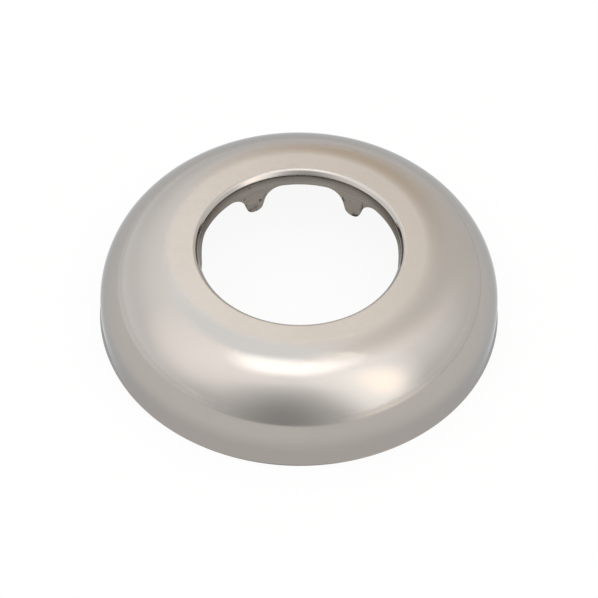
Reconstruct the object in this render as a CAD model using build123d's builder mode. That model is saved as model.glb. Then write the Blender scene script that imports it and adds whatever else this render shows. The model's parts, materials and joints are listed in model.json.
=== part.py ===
from build123d import *
import os
from math import atan, sin, sqrt

# Drain pipe escutcheon: one cup pressed from thin stainless sheet, with the pipe
# collar drawn inward and pierced into spring fingers. Millimetres, pipe along +Z,
# foot on the wall plane Z = 0.

outer_diameter = 79.4
height = 19.05
sheet = 0.5

# pipe hole
tube_diameter = 38.1
tube_clearance = 0.4
rim_radius = 1.75
collar_depth = 3.25

# cup corner and the trimmed foot, which stands out a little past the wall
dome_radius = 14.9
foot_flare = 0.3
foot_height = 1.0

# spring fingers, widths along the collar; their tips are set in towards the tube
finger_count = 6
finger_length = 5.4
finger_tip_width = 2.7
finger_root_width = 6.0
finger_tip_radius = 1.28
finger_root_radius = 4.0
finger_set = 0.33

# room past the sheet that the piercing tool takes
tool_room = 1.0

foot_radius = outer_diameter / 2
wall_radius = foot_radius - foot_flare
collar_radius = tube_diameter / 2 + tube_clearance
collar_back = collar_radius + sheet
rim_start = collar_radius + rim_radius
edge_height = height - collar_depth
tip_height = edge_height - finger_length
tip_radius = collar_radius - finger_set

# the corner keeps inside the wall below it and the flat ring beside it
corner = min(dome_radius, height - foot_height - sheet, wall_radius - rim_start - sheet)
corner_height = height - corner
ring_radius = wall_radius - corner

# arc of the foot, tangent to the wall at foot_height
flare_angle = 2 * atan(foot_flare / foot_height)
flare_radius = foot_height / sin(flare_angle)
flare_axis = wall_radius + flare_radius
foot_inside = flare_axis - sqrt((flare_radius + sheet) ** 2 - foot_height**2)

# one finger seen along its radius, with the blend into the collar edge
with BuildPart() as finger:
    root = finger_root_width / 2
    tip = finger_tip_width / 2
    shoulder = root + 2 * finger_root_radius
    tip_round = min(finger_tip_radius, 0.95 * tip)
    with BuildSketch(Plane.YZ) as outline:
        with BuildLine():
            Polyline(
                (-shoulder, edge_height + tool_room),
                (-shoulder, edge_height),
                (-root, edge_height),
                (-tip, tip_height),
                (tip, tip_height),
                (root, edge_height),
                (shoulder, edge_height),
                (shoulder, edge_height + tool_room),
                close=True,
            )
        make_face()
        rows = outline.vertices().group_by(Axis.Y)
        fillet(rows[0], radius=tip_round)
        rows = outline.vertices().group_by(Axis.Y)
        roots = rows[-2].sort_by(lambda v: abs(v.X))[:2]
        fillet(roots, radius=min(finger_root_radius, finger_length - tip_round))
    extrude(amount=collar_back + tool_room)

# waste pierced out of the collar between the fingers
with BuildPart() as waste:
    with BuildSketch(Plane.XY.offset(edge_height)):
        Circle(collar_back + tool_room)
        Circle(collar_radius - tool_room, mode=Mode.SUBTRACT)
    extrude(amount=-(finger_length + tool_room))
    with PolarLocations(0, finger_count):
        add(finger.part, mode=Mode.SUBTRACT)

# the pressed cup: show side out to the pipe, then the hidden side back to the foot
with BuildPart() as escutcheon:
    with BuildSketch(Plane.XZ):
        with BuildLine():
            TangentArc((wall_radius, foot_height), (foot_radius, 0), tangent=(0, -1))
            Line((wall_radius, foot_height), (wall_radius, corner_height))
            CenterArc((ring_radius, corner_height), corner, 0, 90)
            Line((ring_radius, height), (rim_start, height))
            CenterArc((rim_start, height - rim_radius), rim_radius, 90, 90)
            Line((collar_radius, height - rim_radius), (collar_radius, edge_height))
            Line((collar_radius, edge_height), (tip_radius, tip_height))
            Line((tip_radius, tip_height), (tip_radius + sheet, tip_height))
            Line((tip_radius + sheet, tip_height), (collar_back, edge_height))
            Line((collar_back, edge_height), (collar_back, height - rim_radius))
            CenterArc((rim_start, height - rim_radius), rim_radius - sheet, 90, 90)
            Line((rim_start, height - sheet), (ring_radius, height - sheet))
            CenterArc((ring_radius, corner_height), corner - sheet, 0, 90)
            Line((wall_radius - sheet, corner_height), (wall_radius - sheet, foot_height))
            TangentArc((wall_radius - sheet, foot_height), (foot_inside, 0), tangent=(0, -1))
            Line((foot_inside, 0), (foot_radius, 0))
        make_face()
    revolve(axis=Axis.Z)
    add(waste.part, mode=Mode.SUBTRACT)

os.makedirs("parts", exist_ok=True)
escutcheon.part.label = "escutcheon"
export_step(escutcheon.part, "parts/escutcheon.step")
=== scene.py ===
import json
import math

import bpy
from mathutils import Euler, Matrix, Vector


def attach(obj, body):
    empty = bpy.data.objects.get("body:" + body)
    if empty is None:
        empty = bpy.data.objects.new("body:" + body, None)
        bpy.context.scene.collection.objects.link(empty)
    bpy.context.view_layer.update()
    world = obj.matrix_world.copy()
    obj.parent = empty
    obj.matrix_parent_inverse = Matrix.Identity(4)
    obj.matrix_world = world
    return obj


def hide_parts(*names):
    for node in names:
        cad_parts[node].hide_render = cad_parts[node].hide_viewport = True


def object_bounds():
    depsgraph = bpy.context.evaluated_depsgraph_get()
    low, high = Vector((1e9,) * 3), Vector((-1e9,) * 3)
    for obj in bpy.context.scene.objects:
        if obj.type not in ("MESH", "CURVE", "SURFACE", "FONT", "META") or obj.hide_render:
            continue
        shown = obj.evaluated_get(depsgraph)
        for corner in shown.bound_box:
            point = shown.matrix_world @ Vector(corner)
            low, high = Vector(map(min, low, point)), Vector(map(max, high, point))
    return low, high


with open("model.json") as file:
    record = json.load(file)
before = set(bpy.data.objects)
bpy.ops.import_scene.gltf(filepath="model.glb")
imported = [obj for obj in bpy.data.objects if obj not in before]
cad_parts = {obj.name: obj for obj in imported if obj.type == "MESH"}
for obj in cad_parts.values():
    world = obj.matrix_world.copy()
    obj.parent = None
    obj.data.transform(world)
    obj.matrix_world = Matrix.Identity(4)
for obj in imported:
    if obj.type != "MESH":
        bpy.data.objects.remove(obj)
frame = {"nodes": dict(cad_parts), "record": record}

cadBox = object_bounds()
mm = 0.001
print("frame loaded:", sorted(frame["nodes"]))


def hexLinear(code):
    # sRGB hex to the linear colour that the shader sockets take
    parts = [int(code[i:i + 2], 16) / 255 for i in (1, 3, 5)]
    return [c / 12.92 if c <= 0.04045 else ((c + 0.055) / 1.055) ** 2.4 for c in parts] + [1.0]


def addNode(tree, kind, settings=None, links=None):
    # settings: node attributes, or socket values when the key is a socket name or number
    # links: socket name or number to (node, output)
    node = tree.nodes.new(kind)
    for key, value in (settings or {}).items():
        if isinstance(key, str) and hasattr(node, key):
            setattr(node, key, value)
        else:
            node.inputs[key].default_value = value
    for key, (source, output) in (links or {}).items():
        tree.links.new(source.outputs[output], node.inputs[key])
    return node


# a Mix node's two colours and their mix go by number, because its socket names repeat
colourA = 6
colourB = 7
colourOut = 2
noiseSpan = (0.3, 0.7)        # most of a noise texture's values lie between these


def newMaterial(name):
    material = bpy.data.materials.new(name)
    material.use_nodes = True
    material.node_tree.nodes.clear()
    return material, material.node_tree


def addObject(name, data):
    obj = bpy.data.objects.new(name, data)
    bpy.context.scene.collection.objects.link(obj)
    return obj


# The pressed shell, sizes in mm: foot and top come from the frame, the hole from its mount.
boreMount = next(m for m in frame["record"]["mounts"] if m["name"] == "pipe_hole")
shell = {
    "footRadius": round(cadBox[1].x / mm, 2),
    "height": round(cadBox[1].z / mm, 2),
    "boreRadius": boreMount["dims"]["r_mm"],
    "collarEase": 0.2,        # the drawn collar stands this far outside the stated bore
    "collarDepth": 3.6,
    "collarDraft": 1.0,       # degrees that the drawn wall still closes in, down to its edge
    "sheet": 0.5,
    "footFlare": 0.3,
    "footHeight": 1.0,
    "footCorners": (200, 330),  # degrees, where the roundings of the foot's edge start and end
    "domeRadius": 14.9,
    "rimRadius": 0.78,        # tight bend at the rim, then an easier throat into the collar
    "rimTurn": 54,            # degrees that the tight bend turns
    "throatLength": 0.42,
    "throatRadius": 1.6,
    "burr": 0.08,             # how far the sheared edges are rounded over
}
shell["collarRadius"] = shell["boreRadius"] + shell["collarEase"]
shell["edgeZ"] = shell["height"] - shell["collarDepth"]
finger = {
    "count": 6,
    "length": 5.35,
    "tipWidth": 2.7,
    "rootWidth": 6.0,
    "tipRadius": 1.7,
    "rootRadius": 4.0,
    "setIn": 0.33,            # how far the tips lean towards the tube
    "cleanRoot": 1.5,         # the darkening near the edge starts this far below the collar's edge
}
noEdge = 9.0                  # mm, further than the edge darkening reaches: no finger's edge is near

# faces along each stretch of the section, then along the outline of a finger
meshSteps = {
    "flare": 8,
    "wall": 5,
    "dome": 48,
    "topRing": 5,
    "rim": 12,
    "throat": 2,
    "throatBend": 12,
    "dullThroat": 7,          # rows at the end of the throat that the buffing wheel does not reach; they take the mill grey and its painted shade
    "collar": 14,
    "edgeCorner": 3,
    "hiddenRing": 4,
    "hiddenDome": 32,
    "hiddenFlare": 6,
    "footCorner": 3,
    "footFlat": 3,
    "tipFlat": 3,
    "tipCorner": 10,
    "fingerSide": 4,
    "root": 10,
    "gap": 10,
}


def leanIn(height):
    # how far the collar stands in from its edge ring at this height, less than nothing above that edge
    above = height - shell["edgeZ"]
    if above > 0:
        return -above * math.tan(math.radians(shell["collarDraft"]))
    return finger["setIn"] * -above / finger["length"]


def straight(start, end, steps, normal):
    # points on a line of the section, each with its surface normal
    return [
        (start[0] + (end[0] - start[0]) * i / steps, start[1] + (end[1] - start[1]) * i / steps, *normal)
        for i in range(steps + 1)
    ]


def bend(centre, radius, fromAngle, toAngle, steps, side):
    # points on an arc of the section; side 1 shows its outside, -1 its hollow
    points = []
    for i in range(steps + 1):
        a = math.radians(fromAngle + (toAngle - fromAngle) * i / steps)
        points.append((
            centre[0] + radius * math.cos(a), centre[1] + radius * math.sin(a),
            side * math.cos(a), side * math.sin(a),
        ))
    return points


def fingerColumns():
    # lower edge of the collar over one finger, from the middle of one gap to the middle of the next:
    # angle round the pipe, height, and the edge's own normal (along the collar, up)
    edgeZ = shell["edgeZ"]
    tipZ = edgeZ - finger["length"]
    tip = finger["tipWidth"] / 2
    root = finger["rootWidth"] / 2
    slant = math.atan2(root - tip, finger["length"])
    slantDeg = math.degrees(slant)
    sideNormal = (math.cos(slant), -math.sin(slant))
    reach = (1 - math.sin(slant)) / math.cos(slant)
    tipCentre = (tip - finger["tipRadius"] * reach, tipZ + finger["tipRadius"])
    rootCentre = (root + finger["rootRadius"] * reach, edgeZ - finger["rootRadius"])

    half = straight((0, tipZ), (tipCentre[0], tipZ), meshSteps["tipFlat"], (0, -1))
    half += bend(tipCentre, finger["tipRadius"], -90, -slantDeg, meshSteps["tipCorner"], 1)[1:]
    blend = bend(rootCentre, finger["rootRadius"], 180 - slantDeg, 90, meshSteps["root"], -1)
    half += straight(half[-1][:2], blend[0][:2], meshSteps["fingerSide"], sideNormal)[1:-1]
    half += blend
    columns = [(math.asin(x / (shell["collarRadius"] - leanIn(z))), z, nx, nz) for x, z, nx, nz in half]
    gapStart = columns[-1][0]
    gapEnd = math.pi / finger["count"]
    gapSteps = meshSteps["gap"]
    for i in range(1, gapSteps + 1):
        columns.append((gapStart + (gapEnd - gapStart) * i / gapSteps, edgeZ, 0, -1))
    mirrored = [(-a, z, -nx, nz) for a, z, nx, nz in reversed(columns[1:-1])]
    return mirrored + columns


def rimSection():
    # show side of the rim from the top ring to the collar: (radius, height, normal), and where the ring ends
    s = shell
    fall = 90 - s["rimTurn"]
    rimCentre = (0, s["height"] - s["rimRadius"])
    points = bend(rimCentre, s["rimRadius"], 90, 180 - fall, meshSteps["rim"], 1)
    low = points[-1]
    lean = math.radians(fall)
    run = (low[0] - s["throatLength"] * math.sin(lean), low[1] - s["throatLength"] * math.cos(lean))
    points += straight(low[:2], run, meshSteps["throat"], low[2:])[1:]
    centre = (run[0] - s["throatRadius"] * low[2], run[1] - s["throatRadius"] * low[3])
    collarAngle = 180 - s["collarDraft"]
    points += bend(centre, s["throatRadius"], 180 - fall, collarAngle, meshSteps["throatBend"], 1)[1:]
    rimStart = s["collarRadius"] - leanIn(points[-1][1]) - points[-1][0]
    return [(r + rimStart, z, nr, nz) for r, z, nr, nz in points], rimStart


def shellRows():
    # the section as rows of (radius, height, normal): the show side from foot to collar, the hidden side
    # from collar to foot, and the foot's edge
    s = shell
    wallRadius = s["footRadius"] - s["footFlare"]
    ringRadius = wallRadius - s["domeRadius"]
    domeZ = s["height"] - s["domeRadius"]
    rim, rimStart = rimSection()
    flareAngle = 2 * math.atan(s["footFlare"] / s["footHeight"])
    flareRadius = s["footHeight"] / math.sin(flareAngle)
    flareCentre = (wallRadius + flareRadius, s["footHeight"])
    burr = s["burr"]
    lowAngle = 180 + math.degrees(math.asin((s["footHeight"] - burr) / flareRadius))
    innerFlare = flareRadius + s["sheet"]
    innerLow = 180 + math.degrees(math.asin((s["footHeight"] - burr) / innerFlare))
    innerWall = wallRadius - s["sheet"]
    innerTop = s["height"] - s["sheet"]

    show = bend(flareCentre, flareRadius, lowAngle, 180, meshSteps["flare"], -1)
    show += straight((wallRadius, s["footHeight"]), (wallRadius, domeZ), meshSteps["wall"], (1, 0))[1:]
    show += bend((ringRadius, domeZ), s["domeRadius"], 0, 90, meshSteps["dome"], 1)[1:]
    show += straight((ringRadius, s["height"]), (rimStart, s["height"]), meshSteps["topRing"], (0, 1))[1:]
    show += rim[1:]

    hidden = [(r - nr * s["sheet"], z - nz * s["sheet"], -nr, -nz) for r, z, nr, nz in reversed(rim)]
    hidden += straight((rimStart, innerTop), (ringRadius, innerTop), meshSteps["hiddenRing"], (0, -1))[1:]
    hidden += bend((ringRadius, domeZ), s["domeRadius"] - s["sheet"], 90, 0, meshSteps["hiddenDome"], -1)[1:]
    hidden += straight((innerWall, domeZ), (innerWall, s["footHeight"]), meshSteps["wall"], (-1, 0))[1:]
    hidden += bend(flareCentre, innerFlare, 180, innerLow, meshSteps["hiddenFlare"], 1)[1:]

    # sheared foot: flat on the wall plane, both corners rounded by the burr
    innerStart, outerEnd = s["footCorners"]
    inR = hidden[-1][0] + burr
    outR = show[0][0] - burr
    foot = bend((inR, burr), burr, innerStart, 270, meshSteps["footCorner"], 1)[1:]
    foot += straight((inR, 0), (outR, 0), meshSteps["footFlat"], (0, -1))[1:]
    foot += bend((outR, burr), burr, 270, outerEnd, meshSteps["footCorner"], 1)[1:]
    return show, hidden, foot


def buildShell():
    oneFinger = fingerColumns()
    pitch = 2 * math.pi / finger["count"]
    columns = [(a + k * pitch, z, na, nz) for k in range(finger["count"]) for a, z, na, nz in oneFinger]
    show, hidden, foot = shellRows()
    burr = shell["burr"]
    front = shell["collarRadius"]
    back = front + shell["sheet"]
    rimZ = show[-1][1]
    darkEdgeZ = shell["edgeZ"] - finger["cleanRoot"]
    collarSteps = meshSteps["collar"]

    # collar edge: radius, how far in from the outline, radial normal, share of the outline's own normal
    cornerSteps = meshSteps["edgeCorner"]
    corner = [math.radians(90 * i / cornerSteps) for i in range(cornerSteps + 1)]
    edge = []
    for a in corner:
        edge.append((front + burr * (1 - math.cos(a)), burr * (1 - math.sin(a)), -math.cos(a), math.sin(a)))
    for a in reversed(corner):
        edge.append((back - burr * (1 - math.cos(a)), burr * (1 - math.sin(a)), math.cos(a), math.sin(a)))

    vertices = []
    normals = []
    edgeGaps = []
    rowCount = 0

    def place(radius, angle, height, nRadial, nAlong, nUp, edgeGap=noEdge):
        edgeGaps.append(edgeGap)
        c = math.cos(angle)
        s = math.sin(angle)
        vertices.append((radius * c * mm, radius * s * mm, height * mm))
        normals.append((nRadial * c - nAlong * s, nRadial * s + nAlong * c, nUp))

    def turned(rows):
        for radius, height, nRadial, nUp in rows:
            for angle, *_ in columns:
                place(radius, angle, height, nRadial, 0, nUp)
        return len(rows)

    def collarWall(radius, nRadial, steps):
        # from the rim down to the finger outline, or back up
        for t in steps:
            for angle, z, na, nz in columns:
                low = z - nz * burr
                lowAngle = angle - na * burr / front
                height = rimZ + (low - rimZ) * t
                gap = height - low if z < darkEdgeZ else noEdge
                place(radius - leanIn(height), angle + (lowAngle - angle) * t, height, nRadial, 0, 0, gap)
        return len(steps)

    rowCount += turned(show)
    polishedRows = rowCount - 1 - meshSteps["dullThroat"]
    rowCount += collarWall(front, -1, [i / collarSteps for i in range(1, collarSteps)])
    for radius, inset, nRadial, share in edge:
        for angle, z, na, nz in columns:
            height = z - nz * inset
            insetAngle = angle - na * inset / front
            gap = 0.0 if z < darkEdgeZ else noEdge
            place(radius - leanIn(height), insetAngle, height, nRadial, na * share, nz * share, gap)
        rowCount += 1
    rowCount += collarWall(back, 1, [i / collarSteps for i in range(collarSteps - 1, 0, -1)])
    rowCount += turned(hidden)
    rowCount += turned(foot)

    n = len(columns)
    faces = []
    finishes = []
    for row in range(rowCount):
        nextRow = (row + 1) % rowCount
        for col in range(n):
            nextCol = (col + 1) % n
            faces.append((row * n + col, row * n + nextCol, nextRow * n + nextCol, nextRow * n + col))
            finishes.append(0 if row < polishedRows else 1)
    mesh = bpy.data.meshes.new("escutcheonShell")
    mesh.from_pydata(vertices, [], faces)
    mesh.polygons.foreach_set("material_index", finishes)
    mesh.polygons.foreach_set("use_smooth", [True] * len(faces))
    mesh.update()
    mesh.normals_split_custom_set_from_vertices(normals)
    # mm above a finger's edge, for the darkening near it
    gapLayer = mesh.attributes.new("edgeGap", "FLOAT", "POINT")
    gapLayer.data.foreach_set("value", edgeGaps)
    return addObject("escutcheonShell", mesh)


# Stainless strip, pressed and then buffed: a warm grey mirror, a little soft, with faint buffing
# round the pipe axis and the slight skin-like unevenness that pressing leaves.
polish = {
    "colour": "#b4aea8",
    "cloudColour": "#aca6a0",
    "skirtColour": "#a39d98",   # painted shade: darker low on the wall, for the shadowed paper it reflects near the foot
    "skirtHeights": (3.5, 8.5),  # mm, heights over which that painted shade fades out
    "edgeTint": "#d9dde0",    # at a glancing view the warm tone goes and a little light with it
    "roughness": 0.11,
    "roughnessSpread": 0.03,
    "cloudSize": 14,          # mm, soft patches left by the buffing wheel
    "peelSize": 1.6,          # mm, unevenness of the drawn sheet
    "peelHeight": 0.0006,     # mm
    "lineSpacing": 0.5,       # mm; real buffing lines are finer and would not show
    "lineHeight": 0.0002,     # mm
}


def polishedStainless():
    material, tree = newMaterial("stainlessPressedBuffed")
    place = addNode(tree, "ShaderNodeTexCoord")
    clouds = addNode(tree, "ShaderNodeTexNoise", {"Scale": 1 / (polish["cloudSize"] * mm), "Detail": 3.0},
                     {"Vector": (place, "Object")})
    tint = addNode(tree, "ShaderNodeMix", {
        "data_type": "RGBA", colourA: hexLinear(polish["colour"]), colourB: hexLinear(polish["cloudColour"]),
    }, {0: (clouds, "Fac")})
    axes = addNode(tree, "ShaderNodeSeparateXYZ", links={0: (place, "Object")})
    # painted shade: the wall darkens towards the foot, for the shadowed paper it reflects there
    reach = addNode(tree, "ShaderNodeMapRange", {
        "interpolation_type": "SMOOTHSTEP",
        "From Min": polish["skirtHeights"][0] * mm, "From Max": polish["skirtHeights"][1] * mm,
    }, {"Value": (axes, 2)})
    tint = addNode(tree, "ShaderNodeMix", {"data_type": "RGBA", colourA: hexLinear(polish["skirtColour"])},
                   {0: (reach, "Result"), colourB: (tint, colourOut)})
    # radius and height only, so the lines run round the axis
    flat = addNode(tree, "ShaderNodeCombineXYZ", links={0: (axes, 0), 1: (axes, 1)})
    radius = addNode(tree, "ShaderNodeVectorMath", {"operation": "LENGTH"}, {0: (flat, 0)})
    section = addNode(tree, "ShaderNodeCombineXYZ", links={0: (radius, "Value"), 1: (axes, 2)})
    lines = addNode(tree, "ShaderNodeTexNoise", {"Scale": 1 / (polish["lineSpacing"] * mm), "Detail": 2.0},
                    {"Vector": (section, 0)})
    peel = addNode(tree, "ShaderNodeTexNoise", {"Scale": 1 / (polish["peelSize"] * mm), "Detail": 1.0},
                   {"Vector": (place, "Object")})
    spread = addNode(tree, "ShaderNodeMapRange", {
        "From Min": noiseSpan[0], "From Max": noiseSpan[1],
        "To Min": polish["roughness"] - polish["roughnessSpread"],
        "To Max": polish["roughness"] + polish["roughnessSpread"],
    }, {"Value": (clouds, "Fac")})
    peelBump = addNode(tree, "ShaderNodeBump", {"Strength": 1.0, "Distance": polish["peelHeight"] * mm},
                       {"Height": (peel, "Fac")})
    lineBump = addNode(tree, "ShaderNodeBump", {"Strength": 1.0, "Distance": polish["lineHeight"] * mm},
                       {"Height": (lines, "Fac"), "Normal": (peelBump, "Normal")})
    steel = addNode(tree, "ShaderNodeBsdfPrincipled", {
        "Metallic": 1.0, "Specular Tint": hexLinear(polish["edgeTint"]),
    }, {
        "Base Color": (tint, colourOut), "Roughness": (spread, "Result"), "Normal": (lineBump, "Normal"),
    })
    addNode(tree, "ShaderNodeOutputMaterial", links={"Surface": (steel, "BSDF")})
    return material


# The same strip as it left the mill, never buffed: a dull grey, painted darker for the shaded hollow it
# reflects.
# The draw punch left faint rub marks round the collar; a band under the rim is painted shade; the fingers
# darken towards their edges, and the collar has a few stray spots.
millAndShade = {
    # painted shade: darker than the steel's own grey, for the shaded hollow that the collar reflects
    "colour": "#8d8780",
    "rubColour": "#5e5952",
    "grimeColour": "#2b2723",
    "edgeTint": "#b4b2af",    # a glancing view is duller than on the buffed side
    "roughness": 0.3,
    "roughnessSpread": 0.08,
    "grain": 0.35,            # mm, rolled grain, drawn coarser than the real one so that it shows
    "rubLength": 6.0,         # mm, along the collar
    "rubWidth": 0.2,          # mm, across the marks
    "rubHeight": 0.0007,      # mm
    "rubLevels": (0.45, 0.75),  # of the noise, where a mark starts and where it is full
    "rubShare": 0.4,          # how far a full mark goes to the rub colour
    "bandDepths": (1.2, 2.7),  # mm below the top, where the painted shade band is full and where it ends
    "bandShare": 0.72,        # how far the painted shade band goes to the rub colour
    "grimeReach": 2.2,        # mm, in from the edge of a finger
    "grimeSize": 1.6,         # mm, how long each darker stretch is
    "grimeLevels": (0.46, 0.62),  # of the noise, where a stretch starts and where it is full
    "pitSpacing": 4.2,        # mm, between stray dark spots
    "pitSize": 0.5,           # mm, radius of a spot
    "pitCore": 0.3,           # share of that radius that is darkest
    "pitShare": 0.8,          # how far a spot goes to the dark colour
}


def millStainlessAndShade():
    material, tree = newMaterial("stainlessMillFinish")
    place = addNode(tree, "ShaderNodeTexCoord")
    along = 1 / (millAndShade["rubLength"] * mm)
    across = 1 / (millAndShade["rubWidth"] * mm)
    stretched = addNode(tree, "ShaderNodeMapping", {"Scale": (along, along, across)},
                        {"Vector": (place, "Object")})
    rubs = addNode(tree, "ShaderNodeTexNoise", {"Scale": 1.0, "Detail": 3.0}, {"Vector": (stretched, 0)})
    deep = addNode(tree, "ShaderNodeMapRange", {
        "From Min": millAndShade["rubLevels"][0], "From Max": millAndShade["rubLevels"][1], "To Max": millAndShade["rubShare"],
    }, {"Value": (rubs, "Fac")})
    # the painted shade band under the rim and the stray spots are on the collar's show side only
    axes = addNode(tree, "ShaderNodeSeparateXYZ", links={0: (place, "Object")})
    flat = addNode(tree, "ShaderNodeCombineXYZ", links={0: (axes, 0), 1: (axes, 1)})
    radius = addNode(tree, "ShaderNodeVectorMath", {"operation": "LENGTH"}, {0: (flat, 0)})
    midSheet = (shell["collarRadius"] + shell["sheet"] / 2) * mm
    showSide = addNode(tree, "ShaderNodeMath", {"operation": "LESS_THAN", 1: midSheet},
                       {0: (radius, "Value")})
    # painted shade: the collar darkens in a band just under the rim
    shadeBandTop, shadeBandFoot = [(shell["height"] - depth) * mm for depth in millAndShade["bandDepths"]]
    shadeBand = addNode(tree, "ShaderNodeMapRange", {
        "From Min": shadeBandFoot, "From Max": shadeBandTop, "To Max": millAndShade["bandShare"],
    }, {"Value": (axes, 2)})
    rubsAndShade = addNode(tree, "ShaderNodeMath", {"operation": "MULTIPLY_ADD", "use_clamp": True},
                     {0: (shadeBand, "Result"), 1: (showSide, 0), 2: (deep, "Result")})
    tint = addNode(tree, "ShaderNodeMix", {
        "data_type": "RGBA", colourA: hexLinear(millAndShade["colour"]), colourB: hexLinear(millAndShade["rubColour"]),
    }, {0: (rubsAndShade, 0)})
    # the fingers darker towards their edges: strongest at the edge, in broken stretches
    edge = addNode(tree, "ShaderNodeAttribute", {"attribute_name": "edgeGap"})
    near = addNode(tree, "ShaderNodeMapRange", {
        "From Max": millAndShade["grimeReach"], "To Min": 1.0, "To Max": 0.0,
    }, {"Value": (edge, "Fac")})
    stretches = addNode(tree, "ShaderNodeTexNoise", {"Scale": 1 / (millAndShade["grimeSize"] * mm), "Detail": 2.0},
                        {"Vector": (place, "Object")})
    broken = addNode(tree, "ShaderNodeMapRange", {
        "From Min": millAndShade["grimeLevels"][0], "From Max": millAndShade["grimeLevels"][1],
    }, {"Value": (stretches, "Fac")})
    darkMarks = addNode(tree, "ShaderNodeMath", {"operation": "MULTIPLY", "use_clamp": True},
                   {0: (near, "Result"), 1: (broken, "Result")})
    # stray spots, one to a cell
    cells = addNode(tree, "ShaderNodeTexVoronoi", {"Scale": 1 / (millAndShade["pitSpacing"] * mm)},
                    {"Vector": (place, "Object")})
    pitRadius = millAndShade["pitSize"] / millAndShade["pitSpacing"]
    pits = addNode(tree, "ShaderNodeMapRange", {
        "From Min": millAndShade["pitCore"] * pitRadius, "From Max": pitRadius,
        "To Min": millAndShade["pitShare"], "To Max": 0.0,
    }, {"Value": (cells, "Distance")})
    pits = addNode(tree, "ShaderNodeMath", {"operation": "MULTIPLY"}, {0: (pits, "Result"), 1: (showSide, 0)})
    darkMarks = addNode(tree, "ShaderNodeMath", {"operation": "MAXIMUM", "use_clamp": True},
                   {0: (darkMarks, 0), 1: (pits, 0)})
    tint = addNode(tree, "ShaderNodeMix", {"data_type": "RGBA", colourB: hexLinear(millAndShade["grimeColour"])},
                   {0: (darkMarks, 0), colourA: (tint, colourOut)})
    grain = addNode(tree, "ShaderNodeTexNoise", {"Scale": 1 / (millAndShade["grain"] * mm), "Detail": 2.0},
                    {"Vector": (place, "Object")})
    spread = addNode(tree, "ShaderNodeMapRange", {
        "From Min": noiseSpan[0], "From Max": noiseSpan[1],
        "To Min": millAndShade["roughness"] - millAndShade["roughnessSpread"],
        "To Max": millAndShade["roughness"] + millAndShade["roughnessSpread"],
    }, {"Value": (grain, "Fac")})
    bump = addNode(tree, "ShaderNodeBump", {"Strength": 1.0, "Distance": millAndShade["rubHeight"] * mm},
                   {"Height": (rubs, "Fac")})
    steel = addNode(tree, "ShaderNodeBsdfPrincipled", {
        "Metallic": 1.0, "Specular Tint": hexLinear(millAndShade["edgeTint"]),
    }, {
        "Base Color": (tint, colourOut), "Roughness": (spread, "Result"), "Normal": (bump, "Normal"),
    })
    addNode(tree, "ShaderNodeOutputMaterial", links={"Surface": (steel, "BSDF")})
    return material


escutcheonShell = buildShell()
escutcheonShell.data.materials.append(polishedStainless())
escutcheonShell.data.materials.append(millStainlessAndShade())
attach(escutcheonShell, "root")
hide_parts("escutcheon")
print("shell built:", len(escutcheonShell.data.polygons), "faces")


# The camera stands where the photograph's did, in foot radii and degrees.
view = {
    "azimuth": 2.6,
    "elevation": 48.75,
    "distance": 15.0,
    "targetHeight": 0.0794,
    "roll": 0.54,
    "lens": 180.3,            # mm
    "sensor": 36,             # mm
    "nearest": 0.01,          # metres, where the view begins
}
footRadius = shell["footRadius"] * mm
turn = math.radians(view["azimuth"])


def around(azimuth, elevation, distance):
    # a place seen from the object: azimuth 0 is the camera's side, positive to its right
    a = math.radians(azimuth) + turn
    e = math.radians(elevation)
    return Vector((math.sin(a) * math.cos(e), -math.cos(a) * math.cos(e), math.sin(e))) * distance


def setCamera():
    data = bpy.data.cameras.new("camera")
    data.lens = view["lens"]
    data.sensor_width = view["sensor"]
    data.clip_start = view["nearest"]
    camera = addObject("camera", data)
    away = around(0, view["elevation"], 1)
    camera.location = Vector((0, 0, view["targetHeight"] * footRadius)) + away * view["distance"] * footRadius
    facing = (-away).to_track_quat("-Z", "Y")
    camera.rotation_mode = "QUATERNION"
    camera.rotation_quaternion = facing @ Euler((0, 0, math.radians(view["roll"]))).to_quaternion()
    bpy.context.scene.camera = camera


setCamera()
print("camera set")

# Pale paper floor. What the camera and the metal see of it is part plain white, so its shadow stays soft.
floor = {
    "colour": "#d6d5d3",
    "white": "#ffffff",
    "plainShare": 0.92,
    "halfSide": 1.2,          # metres
    "drop": 0.00002,          # metres, so that the foot's flat edge and the paper do not share a plane
}
square = [(-1, -1), (1, -1), (1, 1), (-1, 1)]    # corners of the floor or a card, in half sides


def layFloor():
    half = floor["halfSide"]
    mesh = bpy.data.meshes.new("paperFloor")
    mesh.from_pydata([(x * half, y * half, -floor["drop"]) for x, y in square], [], [(0, 1, 2, 3)])
    obj = addObject("paperFloor", mesh)
    material, tree = newMaterial("paleSweepPaper")
    path = addNode(tree, "ShaderNodeLightPath")
    seen = addNode(tree, "ShaderNodeMath", {"operation": "ADD", "use_clamp": True},
                   {0: (path, "Is Camera Ray"), 1: (path, "Is Glossy Ray")})
    seen = addNode(tree, "ShaderNodeMath", {"operation": "ADD", "use_clamp": True},
                   {0: (seen, 0), 1: (path, "Is Transmission Ray")})
    share = addNode(tree, "ShaderNodeMath", {"operation": "MULTIPLY", 1: floor["plainShare"]}, {0: (seen, 0)})
    paper = addNode(tree, "ShaderNodeBsdfDiffuse", {"Color": hexLinear(floor["colour"])})
    plain = addNode(tree, "ShaderNodeEmission", {"Color": hexLinear(floor["white"]), "Strength": 1.0})
    mixed = addNode(tree, "ShaderNodeMixShader",
                    links={0: (share, 0), 1: (paper, "BSDF"), 2: (plain, "Emission")})
    addNode(tree, "ShaderNodeOutputMaterial", links={"Surface": (mixed, "Shader")})
    mesh.materials.append(material)


# Light tent: a pale dome that grows brighter towards its top (height of the direction, level).
tent = {
    "colour": "#fdfeff",
    "levels": [(0.0, 1.08), (0.2, 1.03), (0.5, 1.26), (0.77, 1.44), (0.94, 1.63), (1.0, 4.49)],
}


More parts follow.
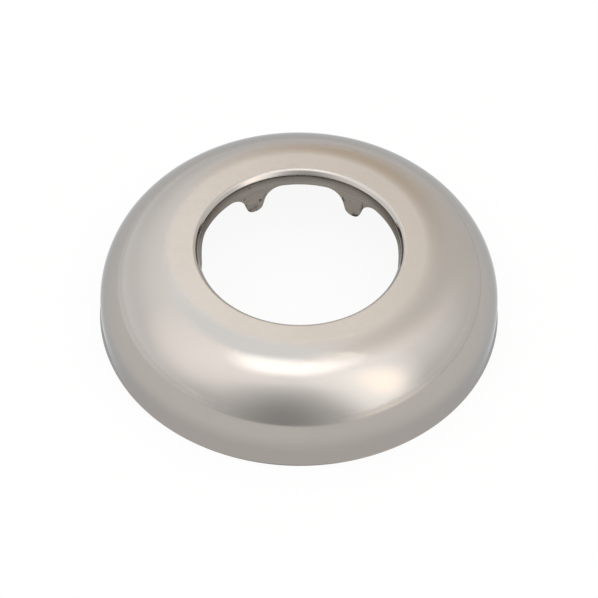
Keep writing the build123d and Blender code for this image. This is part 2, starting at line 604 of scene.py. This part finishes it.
def raiseTent():
    world = bpy.data.worlds.new("lightTent")
    world.use_nodes = True
    tree = world.node_tree
    tree.nodes.clear()
    direction = addNode(tree, "ShaderNodeTexCoord")
    axes = addNode(tree, "ShaderNodeSeparateXYZ", links={0: (direction, "Generated")})
    top = max(level for _, level in tent["levels"])
    ramp = addNode(tree, "ShaderNodeValToRGB", links={"Fac": (axes, 2)})
    stops = ramp.color_ramp.elements
    while len(stops) < len(tent["levels"]):
        stops.new(0.5)        # moved to its height below
    for stop, (height, level) in zip(stops, tent["levels"]):
        stop.position = height
        stop.color = [c * level / top for c in hexLinear(tent["colour"])[:3]] + [1.0]
    light = addNode(tree, "ShaderNodeBackground", {"Strength": top}, {"Color": (ramp, "Color")})
    addNode(tree, "ShaderNodeOutputWorld", links={"Surface": (light, "Background")})
    bpy.context.scene.world = world


def softGlow(tree, light, middle, stretch):
    # full inside the core, thinning to nothing at the rim of an ellipse that middle and stretch fit to the UV
    place = addNode(tree, "ShaderNodeTexCoord")
    centred = addNode(tree, "ShaderNodeMapping", {"Location": middle, "Scale": stretch},
                      {"Vector": (place, "UV")})
    out = addNode(tree, "ShaderNodeVectorMath", {"operation": "LENGTH"}, {0: (centred, 0)})
    fade = addNode(tree, "ShaderNodeMapRange", {
        "interpolation_type": "SMOOTHSTEP", "From Min": light["core"], "To Min": 1.0, "To Max": 0.0,
    }, {"Value": (out, "Value")})
    glow = addNode(tree, "ShaderNodeEmission", {
        "Color": hexLinear(light["colour"]), "Strength": light["level"],
    })
    return glow, fade


def thinOut(tree, glow, fade):
    # light where fade is 1, clear where it is 0
    clear = addNode(tree, "ShaderNodeBsdfTransparent")
    mixed = addNode(tree, "ShaderNodeMixShader",
                    links={0: (fade, "Result"), 1: (clear, "BSDF"), 2: (glow, "Emission")})
    addNode(tree, "ShaderNodeOutputMaterial", links={"Surface": (mixed, "Shader")})


# Standing cloths, in mm round the axis and cut hard at the paper. The low tent wall gives the metal its near
# horizon, with a dark seam at its foot. The glows are the softboxes' light on it, and the flag in front is
# what the near side of the dome darkens to.
cloths = {
    "tentWall": {
        "azimuth": 0, "spread": 360, "radius": 210, "height": 34,
        "colour": "#fdfeff", "level": 0.99,
        "seamHeight": 0.8, "seamColour": "#3a3938",
        "fade": (14, 34),     # heights between which the wall thins out
    },
    "sideGlow": {
        "azimuth": 42, "spread": 66, "radius": 205, "height": 42,
        "colour": "#fffcf6", "level": 1.52, "core": 0.02,
    },
    "leftGlow": {
        "azimuth": -95, "spread": 150, "radius": 205, "height": 42,
        "colour": "#fdfeff", "level": 1.2, "core": 0.02,
    },
    "cameraFlag": {
        "azimuth": -6.8, "spread": 85, "radius": 200, "height": 351,
        "colour": "#fafdff", "level": 0.50, "core": 0.02,
    },
}
clothColumns = 48


def standCloth(name, cloth):
    mesh = bpy.data.meshes.new(name)
    points = []
    for i in range(clothColumns + 1):
        azimuth = cloth["azimuth"] + cloth["spread"] * (i / clothColumns - 0.5)
        foot = around(azimuth, 0, cloth["radius"] * mm)
        points += [foot, foot + Vector((0, 0, cloth["height"] * mm))]
    mesh.from_pydata(points, [], [(2 * i, 2 * i + 2, 2 * i + 3, 2 * i + 1) for i in range(clothColumns)])
    uv = mesh.uv_layers.new(name="UVMap")
    for i in range(clothColumns):
        for k, (along, up) in enumerate([(i, 0), (i + 1, 0), (i + 1, 1), (i, 1)]):
            uv.data[4 * i + k].uv = (along / clothColumns, up)
    obj = addObject(name, mesh)
    obj.visible_camera = False
    obj.visible_shadow = False
    material, tree = newMaterial(name)
    if name == "tentWall":
        place = addNode(tree, "ShaderNodeTexCoord")
        axes = addNode(tree, "ShaderNodeSeparateXYZ", links={0: (place, "Object")})
        above = addNode(tree, "ShaderNodeMath", {"operation": "GREATER_THAN", 1: cloth["seamHeight"] * mm},
                        {0: (axes, 2)})
        tint = addNode(tree, "ShaderNodeMix", {
            "data_type": "RGBA", colourA: hexLinear(cloth["seamColour"]), colourB: hexLinear(cloth["colour"]),
        }, {0: (above, 0)})
        glow = addNode(tree, "ShaderNodeEmission", {"Strength": cloth["level"]}, {"Color": (tint, colourOut)})
        fade = addNode(tree, "ShaderNodeMapRange", {
            "interpolation_type": "SMOOTHSTEP",
            "From Min": cloth["fade"][0] * mm, "From Max": cloth["fade"][1] * mm,
            "To Min": 1.0, "To Max": 0.0,
        }, {"Value": (axes, 2)})
    else:
        glow, fade = softGlow(tree, cloth, (-1, 0, 0), (2, 1, 1))
    thinOut(tree, glow, fade)
    mesh.materials.append(material)


# Soft-edged studio cards, the nearest last: where each hangs (azimuth, elevation), its angular size, colour
# and level, and the share of it that is at full level.
cards = {
    "backSoftbox": {"at": (144, 58), "size": (79, 78), "colour": "#fffcf8", "level": 1.84, "core": 0.34},
    "backWarmCard": {"at": (159, 32), "size": (68, 52), "colour": "#ffe0b7", "level": 0.81, "core": 0.02},
    "leftFill": {"at": (-107, 0), "size": (136, 69), "colour": "#f8fbff", "level": 1.30, "core": 0.02},
    "sideSoftbox": {"at": (44, 36), "size": (58, 124), "colour": "#fcfeff", "level": 2.01, "core": 0.02},
    "sideCore": {"at": (50, 36), "size": (27, 63), "colour": "#fff7ef", "level": 2.46, "core": 0.08},
    "leftSoftbox": {"at": (-70, 56), "size": (70, 104), "colour": "#fffefd", "level": 1.74, "core": 0.02},
    "rightGreyCard": {"at": (137, 26), "size": (86, 136), "colour": "#fffffc", "level": 0.97, "core": 0.02},
    "backGreyCard": {"at": (-153, 71), "size": (38, 51), "colour": "#f6fbff", "level": 1.53, "core": 0.40},
    "topSoftbox": {"at": (-47, 78), "size": (31, 38), "colour": "#fbfeff", "level": 2.64, "core": 0.12},
}
cardDistance = 0.75           # metres, the furthest
cardStep = 0.04               # metres, from one card to the next


def hangCard(name, card, distance):
    halfWidth, halfHeight = [distance * math.tan(math.radians(a) / 2) for a in card["size"]]
    mesh = bpy.data.meshes.new(name)
    mesh.from_pydata([(x * halfWidth, y * halfHeight, 0) for x, y in square], [], [(0, 1, 2, 3)])
    uv = mesh.uv_layers.new(name="UVMap")
    for loop, (x, y) in zip(uv.data, square):
        loop.uv = ((x + 1) / 2, (y + 1) / 2)
    obj = addObject(name, mesh)
    obj.location = around(*card["at"], distance)
    obj.rotation_mode = "QUATERNION"
    obj.rotation_quaternion = (-obj.location).to_track_quat("Z", "Y")
    obj.visible_camera = False
    obj.visible_shadow = False
    material, tree = newMaterial(name)
    glow, fade = softGlow(tree, card, (-1, -1, 0), (2, 2, 1))
    thinOut(tree, glow, fade)
    mesh.materials.append(material)


layFloor()
raiseTent()
for name, cloth in cloths.items():
    standCloth(name, cloth)
for number, (name, card) in enumerate(cards.items()):
    hangCard(name, card, cardDistance - cardStep * number)
print("floor, tent,", len(cloths), "cloths and", len(cards), "cards set")

bpy.context.scene.view_settings.view_transform = "Standard"
